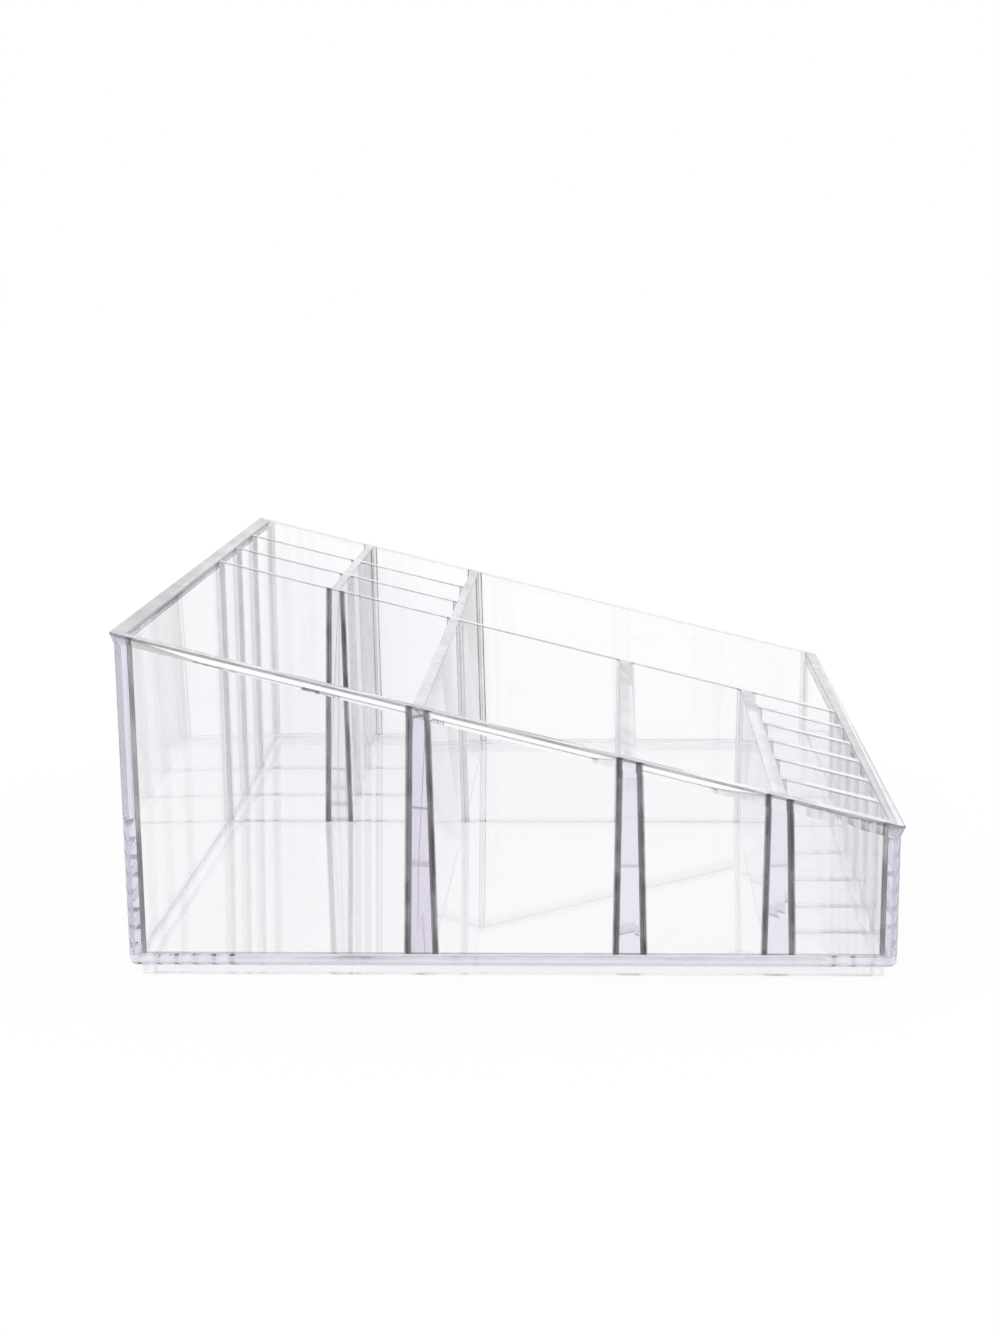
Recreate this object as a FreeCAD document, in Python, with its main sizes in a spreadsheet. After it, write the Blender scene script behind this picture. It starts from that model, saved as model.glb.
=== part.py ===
import FreeCAD, Part
import math
import os

# A clear vanity organizer with a sloping rim: a tub on a foot ring, and the
# walls that part it into sixteen open compartments. Sizes are in millimetres.
# X runs from the high rear to the low front, Y to the user's right, Z up.
# The origin lies on the table under the middle of the rim.

SIZES = {
    # outline at the rim, lip included
    "rim_length": 200.0,
    "rim_width": 280.0,
    "rear_height": 90.0,
    "front_height": 40.0,
    # outer tub; a taper is in mm sideways for each mm of height
    "wall_thick": 3.0,
    "end_taper": 0.014,
    "side_taper": 0.009,
    "corner_round": 2.0,
    "floor_thick": 2.9,
    # flared lip round the rim; its root bites into the walls
    "lip_proud": 1.1,
    "lip_drop": 3.0,
    "lip_bite": 0.4,
    "rim_round": 0.35,
    # foot ring
    "foot_height": 3.0,
    "foot_inset": 2.7,
    "foot_thick": 3.0,
    "foot_round": 0.8,
    # dividing walls: thick at the floor and thinner towards the top
    "web_foot": 5.4,
    "web_taper": 0.021,
    "web_drop": 0.3,
    "cove_radius": 1.5,
    # bays as shares of the rim's length, each to the middle of the next wall
    "rear_share": 0.3875,
    "middle_share": 0.266,
    "front_share": 0.1885,
    # shares of the rim's width: the left half, and each step to a brush wall
    "left_share": 0.565,
    "brush_share": 0.131,
    # clearances: glue line, and how far a blank stands out where it is cut back
    "bond_gap": 0.05,
    "trim": 2.0,
}
LIPSTICK_SLOTS = 6

AXIS_X = FreeCAD.Vector(1, 0, 0)
AXIS_Y = FreeCAD.Vector(0, 1, 0)
AXIS_Z = FreeCAD.Vector(0, 0, 1)

doc = FreeCAD.newDocument("vanity_organizer")
sheet = doc.addObject("Spreadsheet::Sheet", "Sizes")
for row, (alias, number) in enumerate(SIZES.items(), start=1):
    sheet.set(f"A{row}", alias)
    sheet.set(f"B{row}", str(number))
    sheet.setAlias(f"B{row}", alias)
doc.recompute()


def size(alias):
    """The expression for one cell of the sheet."""
    return f"Sizes.{alias}"


def value(expression):
    """What an expression comes to."""
    return float(sheet.evalExpression(expression))


# Levels and faces, as expressions that follow the sheet

FLOOR = f"({size('foot_height')} + {size('floor_thick')})"
WEB_BASE = f"({FLOOR} + {size('bond_gap')})"
BLANK_TOP = f"({size('rear_height')} + {size('trim')})"
MEAN_HEIGHT = f"(({size('rear_height')} + {size('front_height')}) / 2)"
FALL = f"(({size('rear_height')} - {size('front_height')}) / {size('rim_length')})"
SLOPE = f"atan({FALL})"


def rear_face(level):
    """X of the rear wall's outer face at a level."""
    return (f"(-{size('rim_length')} / 2 + {size('lip_proud')}"
            f" + ({size('rear_height')} - {level}) * {size('end_taper')})")


def front_face(level):
    """X of the front wall's outer face at a level."""
    return (f"({size('rim_length')} / 2 - {size('lip_proud')}"
            f" - ({size('front_height')} - {level}) * {size('end_taper')})")


def side_face(level):
    """Distance of both side walls' outer faces from the middle at a level."""
    return (f"({size('rim_width')} / 2 - {size('lip_proud')}"
            f" - ({MEAN_HEIGHT} - {level}) * {size('side_taper')})")


def rear_inside(level):
    """X of the rear wall's inner face at a level."""
    return f"({rear_face(level)} + {size('wall_thick')})"


def front_inside(level):
    """X of the front wall's inner face at a level."""
    return f"({front_face(level)} - {size('wall_thick')})"


def right_inside(level):
    """Y of the right wall's inner face at a level."""
    return f"({side_face(level)} - {size('wall_thick')})"


def left_inside(level):
    """Y of the left wall's inner face at a level."""
    return f"(-{right_inside(level)})"


def web_half(level):
    """Half of a dividing wall's thickness at a level."""
    return (f"({size('web_foot')} / 2"
            f" - ({level} - {FLOOR}) * {size('web_taper')})")


def low_side(middle):
    """The face on the low side of a dividing wall's middle, for a level."""
    return lambda level: f"({middle} - {web_half(level)})"


def high_side(middle):
    """The face on the high side of a dividing wall's middle, for a level."""
    return lambda level: f"({middle} + {web_half(level)})"


# Tools for building


def bind(item, **expressions):
    """Tie properties to expressions; two underscores stand for a dot."""
    for path, expression in expressions.items():
        item.setExpression(path.replace("__", "."), expression)


def turned(axis, angle):
    """A placement at the origin, turned about an axis."""
    return FreeCAD.Placement(FreeCAD.Vector(), FreeCAD.Rotation(axis, angle))


def new_body(label, base=None):
    """An empty body, or one that goes on from another object's shape."""
    body = doc.addObject("PartDesign::Body", "Body")
    body.Label = label
    if base:
        body.BaseFeature = base
        doc.recompute()
    return body


def boolean(kind, label, base, tool):
    """Cut one object from another, or fuse them."""
    result = doc.addObject(f"Part::{kind}", kind)
    result.Label = label
    result.Base = base
    result.Tool = tool
    result.Refine = True
    doc.recompute()
    return result


def rounded(body, radius, wanted):
    """Round those edges of a body's last feature that pass a test."""
    base = body.Tip
    edges = enumerate(base.Shape.Edges, start=1)
    fillet = body.newObject("PartDesign::Fillet", "Fillet")
    fillet.Base = (base, [f"Edge{i}" for i, edge in edges if wanted(edge)])
    bind(fillet, Radius=radius)
    doc.recompute()


def is_steep(edge):
    """Whether an edge climbs more than it runs sideways."""
    step = edge.Vertexes[-1].Point - edge.Vertexes[0].Point
    return abs(step.z) > math.hypot(step.x, step.y)


def off_top(body):
    """A test for the edges of a block that aren't round its top face."""
    top = max(body.Tip.Shape.Faces, key=lambda face: face.CenterOfMass.z)
    return lambda edge: not any(edge.isSame(other) for other in top.Edges)


def on_rim(edge):
    """Whether an edge lies on the sloping plane of the rim."""
    height = value(MEAN_HEIGHT)
    fall = value(FALL)
    return all(
        abs(height - fall * corner.Point.x - corner.Point.z) < 1e-3
        for corner in edge.Vertexes
    )


def block(body, kind, low, high):
    """Add to a body, or take from it, a block with flat, sloping sides.

    It runs between two outlines, each (level, start, end, half width). Its
    own height is along its Y axis, so it is stood up.
    """
    wedge = body.newObject(f"PartDesign::{kind}Wedge", "Wedge")
    wedge.Placement = turned(AXIS_X, 90)
    level, start, end, half = low
    bind(wedge, Ymin=level, Xmin=start, Xmax=end, Zmin=f"-{half}", Zmax=half)
    level, start, end, half = high
    bind(wedge, Ymax=level, X2min=start, X2max=end, Z2min=f"-{half}", Z2max=half)
    doc.recompute()


def outlines(levels, start, end, half):
    """A block's two outlines, from faces that are given for a level."""
    return [(level, start(level), end(level), half(level)) for level in levels]


def shifted(face, step):
    """A face moved along by a step, for a level."""
    return lambda level: f"({face(level)} + {step})"


def space_above(label, drop):
    """The space over the sloping rim, lowered by a drop, for cutting."""
    tool = doc.addObject("Part::Box", "Box")
    tool.Label = label
    tool.Placement = turned(AXIS_Y, 1)
    reach = size("rim_length")
    bind(
        tool,
        Length=f"2 * {reach}",
        Width=f"2 * {size('rim_width')}",
        Height=f"2 * {size('rear_height')}",
        Placement__Rotation__Angle=SLOPE,
        Placement__Base__x=f"-{reach} * cos({SLOPE})",
        Placement__Base__y=f"-{size('rim_width')}",
        Placement__Base__z=f"{MEAN_HEIGHT} + {reach} * sin({SLOPE}) - {drop}",
    )
    doc.recompute()
    return tool


# Outer tub: a tapering block cut to the slope, a lip round it, then hollowed

TUB_LEVELS = (size("foot_height"), BLANK_TOP)
tub_block = new_body("tub_block")
block(tub_block, "Additive", *outlines(TUB_LEVELS, rear_face, front_face, side_face))
rounded(tub_block, size("corner_round"), off_top(tub_block))

LIP_BACK = f"({size('lip_proud')} + {size('lip_bite')})"
LIP_DEEP = f"({size('lip_drop')} * {LIP_BACK} / {size('lip_proud')})"
LIP_SHIFT = f"({LIP_DEEP} * sin({SLOPE}))"
HALF_LENGTH = f"({size('rim_length')} / 2)"
HALF_WIDTH = f"({size('rim_width')} / 2)"
lip = new_body("rim_lip")
block(
    lip,
    "Additive",
    (
        f"-{LIP_DEEP}",
        f"(-{HALF_LENGTH} + {LIP_BACK} + {LIP_SHIFT}) / cos({SLOPE})",
        f"({HALF_LENGTH} - {LIP_BACK} + {LIP_SHIFT}) / cos({SLOPE})",
        f"({HALF_WIDTH} - {LIP_BACK})",
    ),
    (
        "0",
        f"-{HALF_LENGTH} / cos({SLOPE})",
        f"{HALF_LENGTH} / cos({SLOPE})",
        HALF_WIDTH,
    ),
)
lip.Placement = turned(AXIS_Y, 1)
bind(lip, Placement__Rotation__Angle=SLOPE, Placement__Base__z=MEAN_HEIGHT)
doc.recompute()
rounded(lip, size("corner_round"), is_steep)

HOLLOW_LEVELS = (FLOOR, BLANK_TOP)
tub_hollow = new_body("tub_hollow")
block(
    tub_hollow,
    "Additive",
    *outlines(HOLLOW_LEVELS, rear_inside, front_inside, right_inside),
)
rounded(tub_hollow, size("cove_radius"), is_steep)

tub_sloped = boolean("Cut", "tub_sloped", tub_block, space_above("over_rim", "0"))
tub_lipped = boolean("Fuse", "tub_lipped", tub_sloped, lip)
tub_shell = boolean("Cut", "tub_shell", tub_lipped, tub_hollow)
outer_tub = new_body("outer_tub", tub_shell)
rounded(outer_tub, size("rim_round"), on_rim)
nodes = [outer_tub]

# Foot ring, bonded under the floor

RING_REAR = f"({rear_face(size('foot_height'))} + {size('foot_inset')})"
RING_FRONT = f"({front_face(size('foot_height'))} - {size('foot_inset')})"
RING_SIDE = f"({side_face(size('foot_height'))} - {size('foot_inset')})"
foot_ring = new_body("foot_ring")
for kind, inset in (("Additive", "0"), ("Subtractive", size("foot_thick"))):
    box = foot_ring.newObject(f"PartDesign::{kind}Box", "Box")
    bind(
        box,
        Length=f"{RING_FRONT} - {RING_REAR} - 2 * {inset}",
        Width=f"2 * ({RING_SIDE} - {inset})",
        Height=f"{size('foot_height')} - {size('bond_gap')}",
        Placement__Base__x=f"{RING_REAR} + {inset}",
        Placement__Base__y=f"{inset} - {RING_SIDE}",
    )
    doc.recompute()
rounded(foot_ring, size("foot_round"), off_top(foot_ring))
nodes.append(foot_ring)

# Dividing walls: each is a tapering block between two end plates. The plates
# give the coves in its corners a face to run out on, and are then trimmed off.

over_webs = space_above("over_webs", size("web_drop"))
WEB_LEVELS = (WEB_BASE, BLANK_TOP)


def plate_half(level):
    """Half of an end plate's width at a level, wider than the coves."""
    return f"({web_half(level)} + 2 * {size('cove_radius')})"


def in_corner(edge):
    """Whether an edge runs up a corner between a wall and its end plate."""
    reach = value(f"{size('web_foot')} / 2") + 1e-3
    return is_steep(edge) and all(abs(p.Point.y) < reach for p in edge.Vertexes)


def add_web(label, along, across, start, end):
    """Build a dividing wall, glued at its foot and at both ends.

    along is the axis it runs on, across its middle on the other axis, and
    start and end give the faces that it stops at, for a level.
    """
    blank = new_body(f"{label}_blank")
    if along == "Y":
        blank.Placement = turned(AXIS_Z, 90)
        bind(blank, Placement__Base__x=across)
    else:
        bind(blank, Placement__Base__y=across)

    before_start = shifted(start, f"-{size('trim')}")
    after_end = shifted(end, size("trim"))
    glue_start = shifted(start, size("bond_gap"))
    glue_end = shifted(end, f"-{size('bond_gap')}")
    for first, last, half in (
        (start, end, web_half),
        (before_start, start, plate_half),
        (end, after_end, plate_half),
    ):
        block(blank, "Additive", *outlines(WEB_LEVELS, first, last, half))
    rounded(blank, size("cove_radius"), in_corner)
    for first, last in ((before_start, glue_start), (glue_end, after_end)):
        block(blank, "Subtractive", *outlines(WEB_LEVELS, first, last, plate_half))
    nodes.append(boolean("Cut", label, blank, over_webs))


LENGTH = size("rim_length")
WIDTH = size("rim_width")
CENTRE = f"({WIDTH} * {size('left_share')} - {HALF_WIDTH})"
REAR_ROW = f"({LENGTH} * {size('rear_share')} - {HALF_LENGTH})"
MIDDLE_ROW = f"({REAR_ROW} + {LENGTH} * {size('middle_share')})"
FRONT_ROW = f"({MIDDLE_ROW} + {LENGTH} * {size('front_share')})"
BRUSH_ROWS = [f"({CENTRE} + {n} * {WIDTH} * {size('brush_share')})" for n in (1, 2)]
BRUSH_MIDWAY = f"(({rear_inside(FLOOR)} + {low_side(REAR_ROW)(FLOOR)}) / 2)"

add_web("centre_wall", "X", CENTRE, rear_inside, front_inside)

# Left half: three bays, then a row of equal lipstick slots
add_web("left_rear_divider", "Y", REAR_ROW, left_inside, low_side(CENTRE))
add_web("left_middle_divider", "Y", MIDDLE_ROW, left_inside, low_side(CENTRE))
add_web("left_front_divider", "Y", FRONT_ROW, left_inside, low_side(CENTRE))

SLOT_START = f"({left_inside(FLOOR)} - {size('web_foot')} / 2)"
SLOT_PITCH = f"(({CENTRE} - {SLOT_START}) / {LIPSTICK_SLOTS})"
for n in range(1, LIPSTICK_SLOTS):
    middle = f"({SLOT_START} + {n} * {SLOT_PITCH})"
    add_web(f"lipstick_divider_{n}", "X", middle, high_side(FRONT_ROW), front_inside)

# Right half: three rows of brush slots cut in two, then one large bay
add_web("right_rear_divider", "Y", REAR_ROW, high_side(CENTRE), right_inside)
for n, row in enumerate(BRUSH_ROWS, start=1):
    add_web(f"brush_wall_{n}", "X", row, rear_inside, low_side(REAR_ROW))

row_starts = [high_side(row) for row in (CENTRE, *BRUSH_ROWS)]
row_ends = [low_side(row) for row in BRUSH_ROWS] + [right_inside]
for n, (start, end) in enumerate(zip(row_starts, row_ends), start=1):
    add_web(f"brush_cross_divider_{n}", "Y", BRUSH_MIDWAY, start, end)

# Check everything, then write one file for each node

for item in doc.Objects:
    if {"Invalid", "Error"} & set(item.State):
        raise RuntimeError(f"{item.Label}: {item.getStatusString()}")
for node in nodes:
    shape = node.Shape
    if shape.isNull() or not shape.isValid() or len(shape.Solids) != 1:
        raise RuntimeError(f"{node.Label} is not one sound solid")

os.makedirs("parts", exist_ok=True)
for node in nodes:
    node.Shape.exportStep(f"parts/{node.Label}.step")
    print(node.Label, f"{node.Shape.Volume / 1000:.2f} cm3")
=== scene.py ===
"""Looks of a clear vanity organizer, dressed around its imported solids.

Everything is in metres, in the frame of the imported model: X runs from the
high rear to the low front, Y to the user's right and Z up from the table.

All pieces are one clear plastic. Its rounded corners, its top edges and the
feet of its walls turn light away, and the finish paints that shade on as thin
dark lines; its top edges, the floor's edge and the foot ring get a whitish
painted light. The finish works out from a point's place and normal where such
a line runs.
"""

from __future__ import annotations

import logging
import math
from dataclasses import dataclass
from enum import Enum, IntEnum

import bpy
import numpy as np
from mathutils import Matrix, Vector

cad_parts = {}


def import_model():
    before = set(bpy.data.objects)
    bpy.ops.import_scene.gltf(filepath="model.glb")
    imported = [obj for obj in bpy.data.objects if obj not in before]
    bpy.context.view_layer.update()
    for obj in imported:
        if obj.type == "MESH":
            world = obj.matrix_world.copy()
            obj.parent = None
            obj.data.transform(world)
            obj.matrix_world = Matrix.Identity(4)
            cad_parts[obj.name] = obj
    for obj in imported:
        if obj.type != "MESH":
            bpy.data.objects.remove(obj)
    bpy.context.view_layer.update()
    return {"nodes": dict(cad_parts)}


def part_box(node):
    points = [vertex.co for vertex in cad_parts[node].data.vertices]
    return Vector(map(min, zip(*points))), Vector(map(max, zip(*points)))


log = logging.getLogger("vanity_organizer")

Colour = tuple[float, float, float, float]
Socket = bpy.types.NodeSocket

MM = 0.001
HAIR = 0.1 * MM  # width of a border that looks sharp
BOND = 0.05 * MM  # gap across which the pieces are bonded


class Axis(IntEnum):
    """The parts of a place in order."""

    X = 0
    Y = 1
    Z = 2


class Facing(Enum):
    """Where a part of the normal begins to count, and where it counts fully."""

    ROUND = (0.0, 0.15)
    STEEP = (0.3, 0.15)
    UPRIGHT = (0.6, 0.4)
    TOP = (0.85, 0.95)
    SIDE = (0.9, 0.98)


class Tone(Enum):
    """The colours in use, as linear red, green, blue and alpha."""

    PAPER = (0.93, 0.93, 0.94, 1.0)
    WHITE = (1.0, 1.0, 1.0, 1.0)
    CEILING = (0.8, 0.8, 0.83, 1.0)
    HAZY = (0.975, 0.97, 0.985, 1.0)
    # Painted shade: the dark and the dim colour of the lines at coves, corners, top edges and
    # feet.
    PAINTED_SHADE_DARK = (0.034, 0.024, 0.042, 1.0)
    PAINTED_SHADE_DIM = (0.1, 0.078, 0.118, 1.0)
    # Painted light: the whitish coat on the top edges, the floor's edge and the foot ring.
    PAINTED_MILKY_LIGHT = (0.93, 0.92, 0.96, 1.0)


class MixSocket(IntEnum):
    """The colour sockets of a Mix node, whose names it repeats for other kinds."""

    SHARE = 0
    FIRST = 6
    SECOND = 7
    RESULT = 2


class Nodes:
    """A short way to add nodes to a node tree and to join them."""

    def __init__(self, tree: bpy.types.NodeTree) -> None:
        """Empty the tree of a material, a world or a node group."""
        tree.nodes.clear()
        self.tree = tree

    def add(self, kind: str, **inputs: object) -> bpy.types.Node:
        """Add a node and fill its inputs.

        Args:
            kind: the node's type name.
            inputs: values or sockets by input name, with _ for a space.

        Returns:
            The new node.
        """
        node = self.tree.nodes.new(kind)
        for name, value in inputs.items():
            self.feed(node.inputs[name.replace("_", " ")], value)
        return node

    def feed(self, socket: Socket, value: object) -> None:
        """Give a socket a plain value, or link another socket to it.

        Args:
            socket: the input to fill.
            value: a number, a colour or an output socket.
        """
        if isinstance(value, bpy.types.NodeSocket):
            self.tree.links.new(value, socket)
        else:
            socket.default_value = value

    def maths(self, kind: str, *values: object) -> Socket:
        """Add a Math node.

        Args:
            kind: the operation, such as "ADD".
            values: its inputs in order, as numbers or sockets.

        Returns:
            The result's socket.
        """
        node = self.tree.nodes.new("ShaderNodeMath")
        node.operation = kind
        for socket, value in zip(node.inputs, values):
            self.feed(socket, value)
        return node.outputs[0]

    def ramp(
        self, value: Socket, none: float, full: float, low: float = 0.0, high: float = 1.0
    ) -> Socket:
        """Add a smooth step between two levels.

        Args:
            value: what is stepped on.
            none: where the low level ends.
            full: where the high level begins, on either side of none.
            low: the low level.
            high: the high level.

        Returns:
            The level's socket.
        """
        step = self.add("ShaderNodeMapRange", Value=value)
        step.interpolation_type = "SMOOTHSTEP"
        names = ("From Min", "From Max", "To Min", "To Max")
        for name, level in zip(names, (none, full, low, high)):
            step.inputs[name].default_value = level
        return step.outputs["Result"]

    def product(self, *values: object) -> Socket:
        """Multiply two or more values.

        Args:
            values: numbers or sockets.

        Returns:
            The product's socket.
        """
        result = values[0]
        for value in values[1:]:
            result = self.maths("MULTIPLY", result, value)
        return result

    def largest(self, *values: object) -> Socket:
        """Take the largest of two or more values.

        Args:
            values: numbers or sockets.

        Returns:
            The largest one's socket.
        """
        result = values[0]
        for value in values[1:]:
            result = self.maths("MAXIMUM", result, value)
        return result

    def rest(self, value: Socket) -> Socket:
        """What is left of 1 after a value."""
        return self.maths("SUBTRACT", 1.0, value)

    def blend(self, share: Socket, first: object, second: object) -> Socket:
        """Mix two colours.

        Args:
            share: how much of the second is taken.
            first: a colour or a socket.
            second: a colour or a socket.

        Returns:
            The mixed colour's socket.
        """
        mix = self.tree.nodes.new("ShaderNodeMix")
        mix.data_type = "RGBA"
        self.feed(mix.inputs[MixSocket.SHARE], share)
        self.feed(mix.inputs[MixSocket.FIRST], first)
        self.feed(mix.inputs[MixSocket.SECOND], second)
        return mix.outputs[MixSocket.RESULT]

    def noise(self, place: Socket, scale: object, detail: float = 2.0) -> Socket:
        """Add a noise that changes smoothly from place to place.

        Args:
            place: where it is read.
            scale: how fine it is, as a number or a socket.
            detail: how many finer layers are added to it.

        Returns:
            The noise's socket.
        """
        node = self.add("ShaderNodeTexNoise", Vector=place, Scale=scale, Detail=detail)
        return node.outputs["Fac"]

    def mix_shaders(self, share: Socket, first: Socket, second: Socket) -> Socket:
        """Mix two shaders.

        Args:
            share: how much of the second is taken.
            first: a shader's socket.
            second: a shader's socket.

        Returns:
            The mixed shader's socket.
        """
        mix = self.add("ShaderNodeMixShader", Fac=share)
        self.feed(mix.inputs[1], first)
        self.feed(mix.inputs[2], second)
        return mix.outputs["Shader"]


@dataclass(frozen=True)
class Spot:
    """Sockets that tell where a point of the surface is and how it faces.

    Attributes:
        place: the point.
        x: its place from the rear to the front.
        y: its place from left to right.
        z: its height.
        across: its distance from the middle of the object, left or right.
        turn: 1 on an upright rounded corner, 0 on flat faces.
        sideways: how squarely the face looks left or right.
        tilt: how squarely the face looks up or down.
        within: 1 where the face is seen from inside the plastic.
    """

    place: Socket
    x: Socket
    y: Socket
    z: Socket
    across: Socket
    turn: Socket
    sideways: Socket
    tilt: Socket
    within: Socket

    @classmethod
    def on(cls, nodes: Nodes) -> Spot:
        """Read the point that is shaded.

        On a rounded upright corner the normal swings from one wall's to the
        other's, so twice the product of its X and Y parts is 0 on both walls
        and 1 midway.

        Args:
            nodes: the material's nodes.

        Returns:
            The point's sockets.
        """
        geometry = nodes.add("ShaderNodeNewGeometry").outputs
        normal = nodes.add("ShaderNodeSeparateXYZ", Vector=geometry["Normal"]).outputs
        place = nodes.add("ShaderNodeTexCoord").outputs["Object"]
        x, y, z = nodes.add("ShaderNodeSeparateXYZ", Vector=place).outputs
        tilt = nodes.maths("ABSOLUTE", normal["Z"])
        swing = nodes.maths("ABSOLUTE", nodes.product(normal["X"], normal["Y"], 2.0))
        return cls(
            place=place,
            x=x,
            y=y,
            z=z,
            across=nodes.maths("ABSOLUTE", y),
            turn=nodes.product(
                nodes.ramp(swing, *Facing.ROUND.value), nodes.ramp(tilt, *Facing.STEEP.value)
            ),
            sideways=nodes.maths("ABSOLUTE", normal["Y"]),
            tilt=tilt,
            within=geometry["Backfacing"],
        )


def middle(name: str, axis: Axis) -> float:
    """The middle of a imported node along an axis."""
    low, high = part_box(name)
    return (low[axis] + high[axis]) / 2.0


@dataclass(frozen=True)
class SubAssembly:
    """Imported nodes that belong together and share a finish."""

    def nodes(self) -> tuple[str, ...]:
        """The names of its nodes."""
        return ()

    def dress(self, objects: dict[str, bpy.types.Object], finish: bpy.types.Material) -> None:
        """Give each node its finish.

        Args:
            objects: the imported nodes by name.
            finish: the material.
        """
        for name in self.nodes():
            mesh = objects[name].data
            mesh.materials.clear()
            mesh.materials.append(finish)
            log.info("%s: %s in %s", type(self).__name__, name, finish.name)


@dataclass(frozen=True)
class Tub(SubAssembly):
    """The outer tub, with its sloping rim, and the foot ring under it.

    Attributes:
        width: distance from the middle to the rim's outer edge, left or right.
        length: distance from the middle to the rim's outer edge, front or rear.
        floor: height of the floor's top face.
        foot: height of the foot ring.
        rim: height of the rim plane over the origin.
        slope: how fast the rim plane falls towards the front.
        lip: how wide the rim's outer lip is.
        core: a distance from the rim's edge that lies inside the walls.
        face: distance from the rim's edge to the walls' inner faces.
        reach: how far from the rim's edge corners belong to its walls.
        soft: how wide the borders between these are.
    """

    width: float
    length: float
    floor: float
    foot: float
    rim: float = 65.0 * MM
    slope: float = 0.25
    lip: float = 1.85 * MM
    core: float = 3.6 * MM
    face: float = 4.85 * MM
    reach: float = 9.85 * MM
    soft: float = 0.5 * MM

    @classmethod
    def from_frame(cls) -> Tub:
        """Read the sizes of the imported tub.

        Returns:
            The tub.
        """
        _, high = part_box("outer_tub")
        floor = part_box("centre_wall")[0][Axis.Z] - BOND
        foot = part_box("foot_ring")[1][Axis.Z] + BOND
        return cls(high[Axis.Y], high[Axis.X], floor, foot)

    @property
    def rear(self) -> float:
        """The X behind which corners belong to the rear wall."""
        return self.reach - self.length

    def nodes(self) -> tuple[str, ...]:
        """The names of its nodes."""
        return ("outer_tub", "foot_ring")

    def depth(self, nodes: Nodes, spot: Spot) -> Socket:
        """The depth under the rim plane, measured straight down."""
        fall = nodes.maths("MULTIPLY_ADD", spot.x, self.slope, spot.z)
        return nodes.maths("SUBTRACT", self.rim, fall)

    def holds(self, nodes: Nodes, spot: Spot) -> Socket:
        """Mark what is between the side walls and over the foot ring.

        Args:
            nodes: the material's nodes.
            spot: the point that is shaded.

        Returns:
            The mask.
        """
        inside = self.width - self.core
        return nodes.product(
            nodes.ramp(spot.across, inside + HAIR, inside),
            nodes.ramp(spot.z, self.foot + MM, self.foot + MM + HAIR),
        )

    def by_sides(self, nodes: Nodes, spot: Spot) -> Socket:
        """Mark what is on or close to a side wall, where coves get deep painted shade."""
        side = self.width - self.reach
        return nodes.ramp(spot.across, side, side + self.soft)

    def by_ends(self, nodes: Nodes, spot: Spot, low: float, high: float) -> Socket:
        """Step the painted shade from a level away from the rear and front walls to one at them.

        Args:
            nodes: the material's nodes.
            spot: the point that is shaded.
            low: the level away from these walls.
            high: the level at them.

        Returns:
            The level's socket.
        """
        along = nodes.maths("ABSOLUTE", spot.x)
        end = self.length - self.reach
        return nodes.ramp(along, end - self.soft, end, low, high)

    def walls_own(self, nodes: Nodes, spot: Spot, low: float, high: float) -> Socket:
        """Step the painted shade from a low level inside the tub to a high one on its side walls.
        """
        face = self.width - self.face
        return nodes.ramp(spot.across, face - self.soft, face, low, high)

    def on_lip(self, nodes: Nodes, spot: Spot, level: float) -> Socket:
        """Step the painted shade from 0 to a level on the rim's outer lip."""
        lip = self.width - self.lip
        return nodes.ramp(spot.across, lip, lip + self.soft, 0.0, level)

    def over_ring(self, nodes: Nodes, spot: Spot, low: float, high: float) -> Socket:
        """Step the whitish painted light from a low level on the foot ring to a high one on the
        tub.
        """
        return nodes.ramp(spot.z, self.foot - HAIR, self.foot, low, high)

    def under_floor(self, nodes: Nodes, spot: Spot) -> Socket:
        """Mark the upright faces below the floor's top face, which get the whitish painted light.

        Args:
            nodes: the material's nodes.
            spot: the point that is shaded.

        Returns:
            The mask.
        """
        return nodes.product(
            nodes.ramp(spot.z, self.floor + HAIR, self.floor - HAIR),
            nodes.ramp(spot.tilt, *Facing.UPRIGHT.value),
        )


@dataclass(frozen=True)
class DividerRows(SubAssembly):
    """Dividers in rows across the tub, whose ends flare onto a side wall.

    Attributes:
        rows: X of the middle of each row.
        foot: half of a divider's thickness at the floor.
        taper: how fast that half gets thinner with height.
        near: how far from a divider the painted shade of its flare's run-out starts.
        far: how far from a divider the run-out ends.
        soft: how wide the run-out's soft borders are.
    """

    rows: tuple[float, ...]
    foot: float = 2.7 * MM
    taper: float = 0.021
    near: float = 0.5 * MM
    far: float = 2.0 * MM
    soft: float = 0.6 * MM

    def run_outs(self, nodes: Nodes, spot: Spot, floor: float) -> Socket:
        """Mark the strips of a wall that the dividers' flares run out on, which get painted shade.

        A strip's distance from its divider is the distance from the divider's
        middle, less half the divider's thickness at that height.

        Args:
            nodes: the material's nodes.
            spot: the point that is shaded.
            floor: the height that the dividers stand on.

        Returns:
            The strips' mask.
        """
        rise = nodes.maths("SUBTRACT", spot.z, floor)
        half = nodes.maths("MULTIPLY_ADD", rise, -self.taper, self.foot)
        strips = []
        for row in self.rows:
            off = nodes.maths("ABSOLUTE", nodes.maths("SUBTRACT", spot.x, row))
            gap = nodes.maths("SUBTRACT", off, half)
            start = nodes.ramp(gap, self.near, self.near + self.soft)
            end = nodes.ramp(gap, self.far, self.far - self.soft)
            strips.append(nodes.product(start, end))
        return nodes.largest(*strips)


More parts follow.
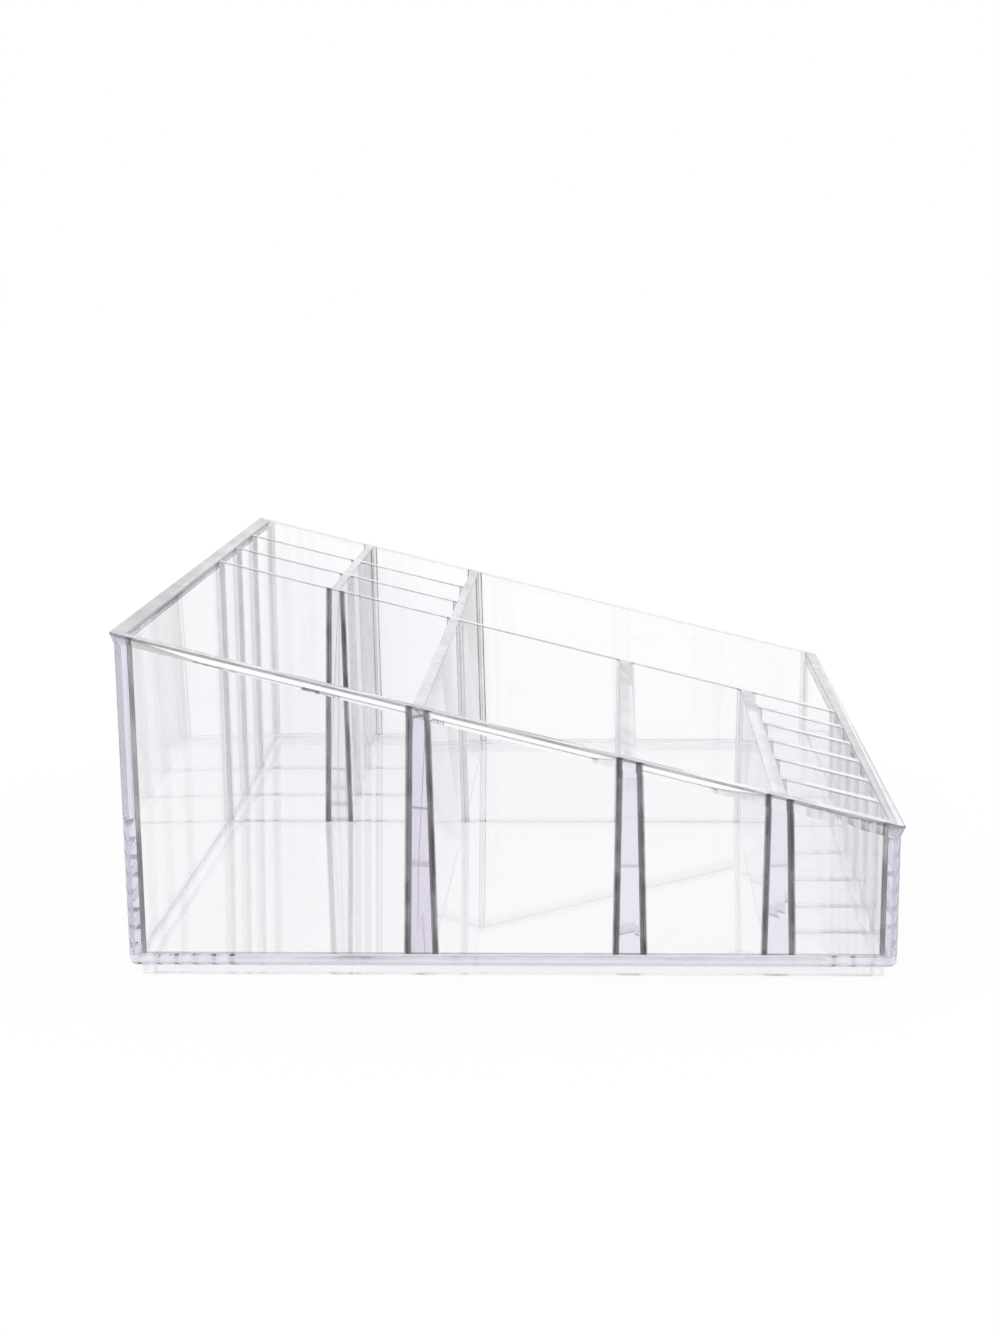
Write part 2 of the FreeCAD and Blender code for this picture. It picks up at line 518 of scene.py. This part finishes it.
@dataclass(frozen=True)
class LeftBays(DividerRows):
    """The centre wall and the dividers between it and the left wall."""

    @classmethod
    def from_frame(cls) -> LeftBays:
        """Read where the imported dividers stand."""
        return cls(tuple(middle(name, Axis.X) for name in cls.dividers()))

    @staticmethod
    def dividers() -> tuple[str, ...]:
        """The names of the dividers from the rear to the front."""
        return tuple(f"left_{place}_divider" for place in ("rear", "middle", "front"))

    def nodes(self) -> tuple[str, ...]:
        """The names of its nodes."""
        return ("centre_wall", *self.dividers())

    def on_wall(self, nodes: Nodes, spot: Spot, floor: float) -> Socket:
        """Mark the run-outs on the left wall, which get painted shade."""
        left = nodes.ramp(spot.y, MM, -MM)
        return nodes.product(self.run_outs(nodes, spot, floor), left)


@dataclass(frozen=True)
class LipstickRow(SubAssembly):
    """The short dividers that part the front row into lipstick slots.

    Attributes:
        count: how many there are.
    """

    count: int = 5

    def nodes(self) -> tuple[str, ...]:
        """The names of its nodes."""
        return tuple(f"lipstick_divider_{number + 1}" for number in range(self.count))


@dataclass(frozen=True)
class BrushSlots(DividerRows):
    """The slots at the rear right, and the divider in front of them.

    Attributes:
        start: Y of the centre wall's middle, where the slots begin.
        corner: how far from there the near corners of the first slots reach.
        walls: how many walls run from the rear to the divider.
        crosses: how many short dividers part the slots.
    """

    start: float = 0.0
    corner: float = 7.0 * MM
    walls: int = 2
    crosses: int = 3

    @classmethod
    def from_frame(cls) -> BrushSlots:
        """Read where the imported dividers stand.

        Returns:
            The brush slots.
        """
        across = ("brush_cross_divider_1", "right_rear_divider")
        rows = tuple(middle(name, Axis.X) for name in across)
        return cls(rows, start=middle("centre_wall", Axis.Y))

    def nodes(self) -> tuple[str, ...]:
        """The names of its nodes."""
        walls = (f"brush_wall_{number + 1}" for number in range(self.walls))
        crosses = (f"brush_cross_divider_{number + 1}" for number in range(self.crosses))
        return ("right_rear_divider", *walls, *crosses)

    def on_wall(self, nodes: Nodes, spot: Spot, floor: float) -> Socket:
        """Mark the run-outs on the right wall, which get painted shade."""
        right = nodes.ramp(spot.y, -MM, MM)
        return nodes.product(self.run_outs(nodes, spot, floor), right)

    def near_corners(self, nodes: Nodes, spot: Spot, rear: float) -> Socket:
        """Mark the corners of the first slots that lie at the centre wall, whose coves get deep
        painted shade.

        These are the ones between the rear wall and the middle of the front
        slots, which is midway between the two rows.

        Args:
            nodes: the material's nodes.
            spot: the point that is shaded.
            rear: behind this X, corners belong to the rear wall.

        Returns:
            The mask.
        """
        end = self.start + self.corner
        front = sum(self.rows) / len(self.rows)
        return nodes.product(
            nodes.ramp(spot.y, self.start, self.start + MM),
            nodes.ramp(spot.y, end, end - MM),
            nodes.ramp(spot.x, front, front - MM),
            nodes.ramp(spot.x, rear, rear + MM),
        )


def moulded_surface_group() -> bpy.types.NodeTree:
    """The node group for what a mould leaves on clear plastic.

    Slow waves from uneven shrinking make the height, and slow patches change
    the gloss and the tint a little.

    Returns:
        The group, with Wave Scale, Patch Scale and Polish inputs, and with
        Tint, Gloss and Height outputs.
    """
    group = bpy.data.node_groups.new("moulded_surface", "ShaderNodeTree")
    sockets = group.interface
    for name in ("Wave Scale", "Patch Scale", "Polish"):
        sockets.new_socket(name=name, in_out="INPUT", socket_type="NodeSocketFloat")
    for name, kind in (("Tint", "Color"), ("Gloss", "Float"), ("Height", "Float")):
        sockets.new_socket(name=name, in_out="OUTPUT", socket_type=f"NodeSocket{kind}")

    nodes = Nodes(group)
    given = nodes.add("NodeGroupInput").outputs
    place = nodes.add("ShaderNodeTexCoord").outputs["Object"]
    patch = nodes.noise(place, given["Patch Scale"], detail=3.0)
    nodes.add(
        "NodeGroupOutput",
        Tint=nodes.blend(patch, Tone.HAZY.value, Tone.WHITE.value),
        Gloss=nodes.maths("MULTIPLY", patch, given["Polish"]),
        Height=nodes.noise(place, given["Wave Scale"]),
    )
    return group


@dataclass(frozen=True)
class LineShade:
    """How much shade is painted where rounded corners and edges turn light away.

    Attributes:
        deep: a divider's cove at a side wall, seen from inside the plastic.
        nook: a cove in the tub's own corners, seen from inside the plastic.
        faint: any other cove, seen from inside the plastic.
        across: a cove seen from the air.
        rear: a cove on the rear wall, seen from the air.
        corner: an outside corner.
        edge: the rounding under the top edges of the walls.
        rim: the same on the side walls' inner faces.
        lip: the same on the rim's outer lip.
        foot: the line where walls stand on the floor.
        within: how much of the edge and foot lines shows from inside the plastic.
        floor_line: the foot line of the side walls, seen from inside the plastic.
        painted_top_light: how strong the whitish painted light on the top edges is.
        painted_base_light: how strong the whitish painted light on the floor's edge is.
        ring: how strong the whitish painted light on the foot ring's faces is.
        top: how deep under the rim plane a wall's top edge may lie.
        edge_width: how far the edge lines reach down.
        foot_width: how far the foot lines reach up.
        soft: how wide the lines' soft borders are.
        noise: where the noise in lines and edges begins and stops to count.
        streaks: how strong lines are at its low and its high end.
        clouds: how strong the whitish painted light is at its low and its high end.
    """

    deep: float = 0.97
    nook: float = 0.82
    faint: float = 0.2
    across: float = 0.15
    rear: float = 0.3
    corner: float = 0.15
    edge: float = 0.42
    rim: float = 0.12
    lip: float = 0.6
    foot: float = 0.25
    within: float = 0.3
    floor_line: float = 0.45
    painted_top_light: float = 0.45
    painted_base_light: float = 0.55
    ring: float = 0.25
    top: float = 1.0 * MM
    edge_width: float = 0.65 * MM
    foot_width: float = 0.4 * MM
    soft: float = 0.2 * MM
    noise: tuple[float, float] = (0.3, 0.7)
    streaks: tuple[float, float] = (1.0, 0.72)
    clouds: tuple[float, float] = (0.55, 1.15)


@dataclass(frozen=True)
class ClearPlastic:
    """A polished clear plastic with a lavender body colour.

    Attributes:
        name: the material's name.
        tub: the tub that is dressed in it.
        left: the left bays.
        brushes: the brush slots.
        lines: how strong the painted shade lines at corners and edges, and the painted light on
            the edges, are.
        ior: how strongly it bends light.
        body: the colour that long ways through it take on.
        density: how fast they take it on, per metre.
        ripple: how fine the slow waves on its faces are.
        wave: height of these waves.
        bump: how much of that height shows.
        patch: how fine its patches of gloss and tint are.
        polish: the roughest that these patches get.
        line_matt: how rough the painted lines and painted light are.
        line_shine: how strongly the painted lines and painted light reflect.
        streak: how fine the streaks in the painted shade lines are.
        cloud: how fine the clouds in the whitish painted light are.
    """

    name: str
    tub: Tub
    left: LeftBays
    brushes: BrushSlots
    lines: LineShade
    ior: float = 1.55
    body: Colour = (0.17, 0.0, 0.45, 1.0)
    density: float = 1.0
    ripple: float = 40.0
    wave: float = 0.02 * MM
    bump: float = 0.25
    patch: float = 12.0
    polish: float = 0.01
    line_matt: float = 0.3
    line_shine: float = 0.2
    streak: float = 90.0
    cloud: float = 30.0

    def material(self, surface: bpy.types.NodeTree) -> bpy.types.Material:
        """Make the material: clear plastic under painted shade lines at its corners and edges and
        a whitish painted light on its edges.

        A closed shell with a body colour needs one material all over, or
        light that leaves through another one goes on being tinted.

        Args:
            surface: the group from moulded_surface_group.

        Returns:
            The material.
        """
        material = bpy.data.materials.new(self.name)
        material.use_nodes = True
        nodes = Nodes(material.node_tree)
        mould = nodes.add("ShaderNodeGroup")
        mould.node_tree = surface
        mould.inputs["Wave Scale"].default_value = self.ripple
        mould.inputs["Patch Scale"].default_value = self.patch
        mould.inputs["Polish"].default_value = self.polish
        bump = nodes.add(
            "ShaderNodeBump",
            Strength=self.bump,
            Distance=self.wave,
            Height=mould.outputs["Height"],
        )
        clear = nodes.add(
            "ShaderNodeBsdfPrincipled",
            Base_Color=mould.outputs["Tint"],
            Roughness=mould.outputs["Gloss"],
            IOR=self.ior,
            Transmission_Weight=1.0,
            Normal=bump.outputs["Normal"],
        )
        cover, colour = self.shade(nodes)
        # This shader is painted light and shade: dark lines of painted shade where coves, corners
        # and edges turn light away, and a whitish painted light on the top edges and the floor's
        # edge.
        line = nodes.add(
            "ShaderNodeBsdfPrincipled",
            Base_Color=colour,
            Roughness=self.line_matt,
            Specular_IOR_Level=self.line_shine,
        )
        inside = nodes.add("ShaderNodeVolumeAbsorption", Color=self.body, Density=self.density)
        nodes.add(
            "ShaderNodeOutputMaterial",
            Surface=nodes.mix_shaders(cover, clear.outputs["BSDF"], line.outputs["BSDF"]),
            Volume=inside.outputs["Volume"],
        )
        return material

    def shade(self, nodes: Nodes) -> tuple[Socket, Socket]:
        """Work out where shade is painted on the plastic as a line, and where a whitish light is
        painted on it.

        Args:
            nodes: the material's nodes.

        Returns:
            How much of the surface is covered, and the cover's colour.
        """
        spot = Spot.on(nodes)
        depth = self.tub.depth(nodes, spot)
        # Painted light: a whitish coat on the top faces close under the rim plane.
        painted_top_light = nodes.product(
            nodes.ramp(spot.tilt, *Facing.TOP.value),
            nodes.ramp(depth, self.lines.top + 2.0 * self.lines.soft, self.lines.top),
        )
        # Painted light: a whitish coat on upright faces below the floor, seen from the air.
        painted_base_light = nodes.product(self.tub.under_floor(nodes, spot), nodes.rest(spot.within))
        streaks = nodes.noise(spot.place, self.streak)
        # Painted shade: dark lines at coves, outside corners, top edges and feet, broken up by
        # streaks.
        painted_shade = nodes.product(
            nodes.largest(self.painted_corner_shade(nodes, spot), self.painted_edge_shade(nodes, spot, depth)),
            nodes.ramp(streaks, *self.lines.noise, *self.lines.streaks),
        )
        clouds = nodes.noise(spot.place, self.cloud)
        # The whitish painted light is weaker on the foot ring than on the tub above it.
        low = self.tub.over_ring(nodes, spot, self.lines.ring, self.lines.painted_base_light)
        # How much whitish painted light covers the surface, broken up by clouds.
        painted_light = nodes.product(
            nodes.largest(nodes.product(painted_top_light, self.lines.painted_top_light), nodes.product(painted_base_light, low)),
            nodes.ramp(clouds, *self.lines.noise, *self.lines.clouds),
        )
        # The colour of the painted shade, dark to dim by streaks, and of the whitish painted
        # light.
        shade_colour = nodes.blend(streaks, Tone.PAINTED_SHADE_DARK.value, Tone.PAINTED_SHADE_DIM.value)
        colour = nodes.blend(nodes.largest(painted_top_light, painted_base_light), shade_colour, Tone.PAINTED_MILKY_LIGHT.value)
        return nodes.largest(painted_shade, painted_light), colour

    def painted_corner_shade(self, nodes: Nodes, spot: Spot) -> Socket:
        """Paint shade on the coves between walls and on the outside corners.

        Coves at the side walls and at the first brush slots are deep where
        they are seen through the plastic, and so are the strips of the side
        walls that they run out on.

        Args:
            nodes: the material's nodes.
            spot: the point that is shaded.

        Returns:
            How much of the surface these lines cover.
        """
        tub, lines = self.tub, self.lines
        inner = tub.holds(nodes, spot)
        dark = nodes.largest(
            tub.by_sides(nodes, spot), self.brushes.near_corners(nodes, spot, tub.rear)
        )
        own = tub.by_ends(nodes, spot, lines.deep - lines.faint, lines.nook - lines.faint)
        through = nodes.maths("MULTIPLY_ADD", dark, own, lines.faint)
        outside = nodes.ramp(spot.x, tub.rear + tub.soft, tub.rear, lines.across, lines.rear)
        gain = nodes.maths("SUBTRACT", through, outside)
        level = nodes.maths("MULTIPLY_ADD", spot.within, gain, outside)
        # Painted shade on the coves, and a fainter one on the outside corners.
        cove = nodes.product(spot.turn, inner, level)
        corner = nodes.product(spot.turn, nodes.rest(inner), lines.corner)
        # Painted shade on the strips of the side walls that the dividers' flares run out on.
        run_out = nodes.product(
            nodes.largest(
                self.left.on_wall(nodes, spot, tub.floor),
                self.brushes.on_wall(nodes, spot, tub.floor),
            ),
            nodes.ramp(spot.sideways, *Facing.SIDE.value),
            inner,
            dark,
            spot.within,
            lines.deep,
        )
        return nodes.largest(cove, corner, run_out)

    def painted_edge_shade(self, nodes: Nodes, spot: Spot, depth: Socket) -> Socket:
        """Paint shade as lines under the top edges and at the feet of the walls.

        Args:
            nodes: the material's nodes.
            spot: the point that is shaded.
            depth: its depth under the rim plane.

        Returns:
            How much of the surface these lines cover.
        """
        tub, lines = self.tub, self.lines
        seen = nodes.ramp(spot.within, none=0.0, full=1.0, low=1.0, high=lines.within)
        # Painted shade under the top edges of the walls and on the rim's lip.
        edge = nodes.product(
            nodes.ramp(depth, lines.edge_width + lines.soft, lines.edge_width),
            nodes.largest(
                tub.walls_own(nodes, spot, lines.edge, lines.rim),
                tub.on_lip(nodes, spot, lines.lip),
            ),
            seen,
        )
        top = tub.floor + lines.foot_width
        own = nodes.product(tub.walls_own(nodes, spot, 0.0, lines.floor_line), spot.within)
        # Painted shade where the walls stand on the floor.
        foot = nodes.product(
            nodes.ramp(spot.z, top + lines.soft, top),
            nodes.ramp(spot.z, tub.floor - 2.0 * HAIR, tub.floor - HAIR),
            nodes.ramp(spot.tilt, *Facing.UPRIGHT.value),
            tub.holds(nodes, spot),
            nodes.largest(nodes.product(seen, lines.foot), own),
        )
        return nodes.largest(edge, foot)


@dataclass(frozen=True)
class Viewpoint:
    """Where the camera stands and how it looks.

    Attributes:
        place: its position in metres.
        down: how far it looks down, in degrees.
        left: how far it is turned to the left, in degrees.
        roll: how far it leans over clockwise, in degrees.
        lens: focal length in millimetres.
        sensor: the picture's long side in millimetres.
    """

    place: tuple[float, float, float] = (0.02522, -0.75146, 0.1817)
    down: float = 9.34
    left: float = 2.511
    roll: float = 0.51
    lens: float = 67.236
    sensor: float = 36.0

    def build(self) -> None:
        """Make the camera and give it to the scene."""
        data = bpy.data.cameras.new("camera")
        data.lens = self.lens
        data.sensor_width = self.sensor
        camera = bpy.data.objects.new("camera", data)
        turn = Matrix.Rotation(math.radians(self.left), 4, "Z")
        tilt = Matrix.Rotation(math.radians(90.0 - self.down), 4, "X")
        lean = Matrix.Rotation(math.radians(-self.roll), 4, "Z")
        camera.matrix_world = Matrix.Translation(self.place) @ turn @ tilt @ lean
        scene = bpy.context.scene
        scene.collection.objects.link(camera)
        scene.camera = camera


@dataclass(frozen=True)
class Studio:
    """A white table top, a white background and soft light.

    Attributes:
        reach: half the side of the table top, in metres.
        cells: how many squares the table top has along a side.
        glow: how much of the table top's white is its own.
        sky: strength of the light from all round.
        low: how high the white horizon reaches, as the sine of the angle.
        high: where the ceiling begins, as the sine of the angle.
        layers: how many clear faces light may pass.
        mirrors: how many times light may be thrown back.
    """

    reach: float = 6.0
    cells: int = 8
    glow: float = 0.94
    sky: float = 1.15
    low: float = 0.2
    high: float = 0.6
    layers: int = 64
    mirrors: int = 40

    def build(self) -> None:
        """Make the table top, the background and the light."""
        self.build_floor()
        self.build_world()
        self.set_light_paths()

    def build_floor(self) -> None:
        """Make the table top: a flat grid of squares at height 0."""
        side = self.cells + 1
        steps = np.linspace(-self.reach, self.reach, side)
        x, y = np.meshgrid(steps, steps, indexing="ij")
        corners = np.stack([x, y, np.zeros_like(x)], axis=-1).reshape(-1, 3)
        index = np.arange(side * side).reshape(side, side)
        faces = np.stack([index[:-1, :-1], index[1:, :-1], index[1:, 1:], index[:-1, 1:]], axis=-1)
        mesh = bpy.data.meshes.new("floor")
        mesh.from_pydata(corners, [], faces.reshape(-1, 4).tolist())
        mesh.materials.append(self.paper())
        floor = bpy.data.objects.new("floor", mesh)
        bpy.context.scene.collection.objects.link(floor)

    def paper(self) -> bpy.types.Material:
        """Make the table top's white paper.

        Its own white is what the eye and clear faces see. The rest is matt
        and keeps the object's shadow.

        Returns:
            The material.
        """
        material = bpy.data.materials.new("white_paper")
        material.use_nodes = True
        nodes = Nodes(material.node_tree)
        matt = nodes.add("ShaderNodeBsdfDiffuse", Color=Tone.PAPER.value)
        own = nodes.add("ShaderNodeEmission", Color=Tone.WHITE.value, Strength=1.0)
        path = nodes.add("ShaderNodeLightPath").outputs
        seen = nodes.largest(
            path["Is Camera Ray"], path["Is Glossy Ray"], path["Is Transmission Ray"]
        )
        share = nodes.maths("MULTIPLY", seen, self.glow)
        surface = nodes.mix_shaders(share, matt.outputs["BSDF"], own.outputs["Emission"])
        nodes.add("ShaderNodeOutputMaterial", Surface=surface)
        return material

    def build_world(self) -> None:
        """Make the background: white, with a dimmer ceiling for reflections."""
        world = bpy.data.worlds.new("studio")
        bpy.context.scene.world = world
        world.use_nodes = True
        nodes = Nodes(world.node_tree)
        way = nodes.add("ShaderNodeTexCoord").outputs["Generated"]
        up = nodes.add("ShaderNodeSeparateXYZ", Vector=way).outputs["Z"]
        height = nodes.ramp(up, self.low, self.high)
        shade = nodes.blend(height, Tone.WHITE.value, Tone.CEILING.value)
        path = nodes.add("ShaderNodeLightPath").outputs
        bent = nodes.largest(path["Is Glossy Ray"], path["Is Transmission Ray"])
        room = nodes.add("ShaderNodeBackground", Color=shade, Strength=1.0)
        light = nodes.add("ShaderNodeBackground", Color=Tone.WHITE.value, Strength=self.sky)
        clear = nodes.add("ShaderNodeBackground", Color=Tone.WHITE.value, Strength=1.0)
        lit = nodes.mix_shaders(bent, light.outputs["Background"], room.outputs["Background"])
        final = nodes.mix_shaders(path["Is Camera Ray"], lit, clear.outputs["Background"])
        nodes.add("ShaderNodeOutputWorld", Surface=final)

    def set_light_paths(self) -> None:
        """Let light through many clear layers, and set the plain view."""
        scene = bpy.context.scene
        scene.view_settings.view_transform = "Standard"
        scene.cycles.max_bounces = self.layers
        scene.cycles.transmission_bounces = self.layers
        scene.cycles.glossy_bounces = self.mirrors


def main() -> None:
    """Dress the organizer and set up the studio."""
    logging.basicConfig(level=logging.INFO, format="%(name)s: %(message)s")
    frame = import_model()

    tub, left, brushes = Tub.from_frame(), LeftBays.from_frame(), BrushSlots.from_frame()
    plastic = ClearPlastic("clear_plastic", tub, left, brushes, LineShade())
    finish = plastic.material(moulded_surface_group())
    for part in (tub, left, LipstickRow(), brushes):
        part.dress(frame["nodes"], finish)
    Studio().build()
    Viewpoint().build()


if __name__ == "__main__":
    main()
